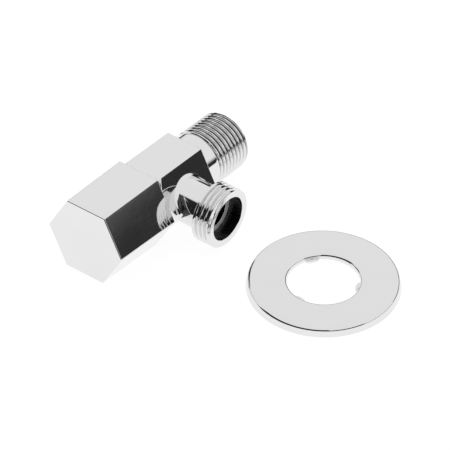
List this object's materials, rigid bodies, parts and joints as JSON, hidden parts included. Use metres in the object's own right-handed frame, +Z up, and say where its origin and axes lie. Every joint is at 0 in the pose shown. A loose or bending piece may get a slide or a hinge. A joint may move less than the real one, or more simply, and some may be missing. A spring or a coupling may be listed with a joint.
{
  "type": "angle stop valve",
  "caption": "Quarter-turn angle stop valve with a hexagonal body and sleeve handle, threaded inlet and side outlet, and a loose round cover flange.",
  "frame": {"origin": "on the floor, under the middle of the box round the valve and its flange", "axes": "+Z up from the floor, +X along the outlet, +Y from the handle towards the inlet"},
  "size_m": [0.1046, 0.0759, 0.0283],
  "materials": {
    "chrome": "polished chrome plate on brass",
    "brass": "turned",
    "rubber": "smooth black",
    "plastic": "natural white",
    "ceramic": "lapped",
    "steel": "plain"
  },
  "bodies": {
    "valve": {"valve_body": "chrome", "bonnet": "brass", "bonnet_o_ring": "rubber", "glide_washer": "plastic", "fixed_disc": "ceramic", "seat_seal": "rubber", "seal_support_ring": "plastic"},
    "turning_set": {"handle": "chrome", "grub_screw": "steel", "spindle": "brass", "spindle_o_ring_outer": "rubber", "spindle_o_ring_inner": "rubber", "retaining_clip": "steel", "rotating_disc": "ceramic"},
    "cover_flange": {"flange": "chrome"}
  },
  "joints": [
    {"name": "handle_turn", "type": "hinge", "parent": "valve", "child": "turning_set", "pos_m": [-0.03665, -0.01933, 0.01412], "axis": [0, -0.998, 0.0631], "range_deg": [0, 90]},
    {"name": "flange_lift", "type": "slide", "parent": "valve", "child": "cover_flange", "axis": [0, 0, 1], "range_m": [0, 0.06]}
  ]
}
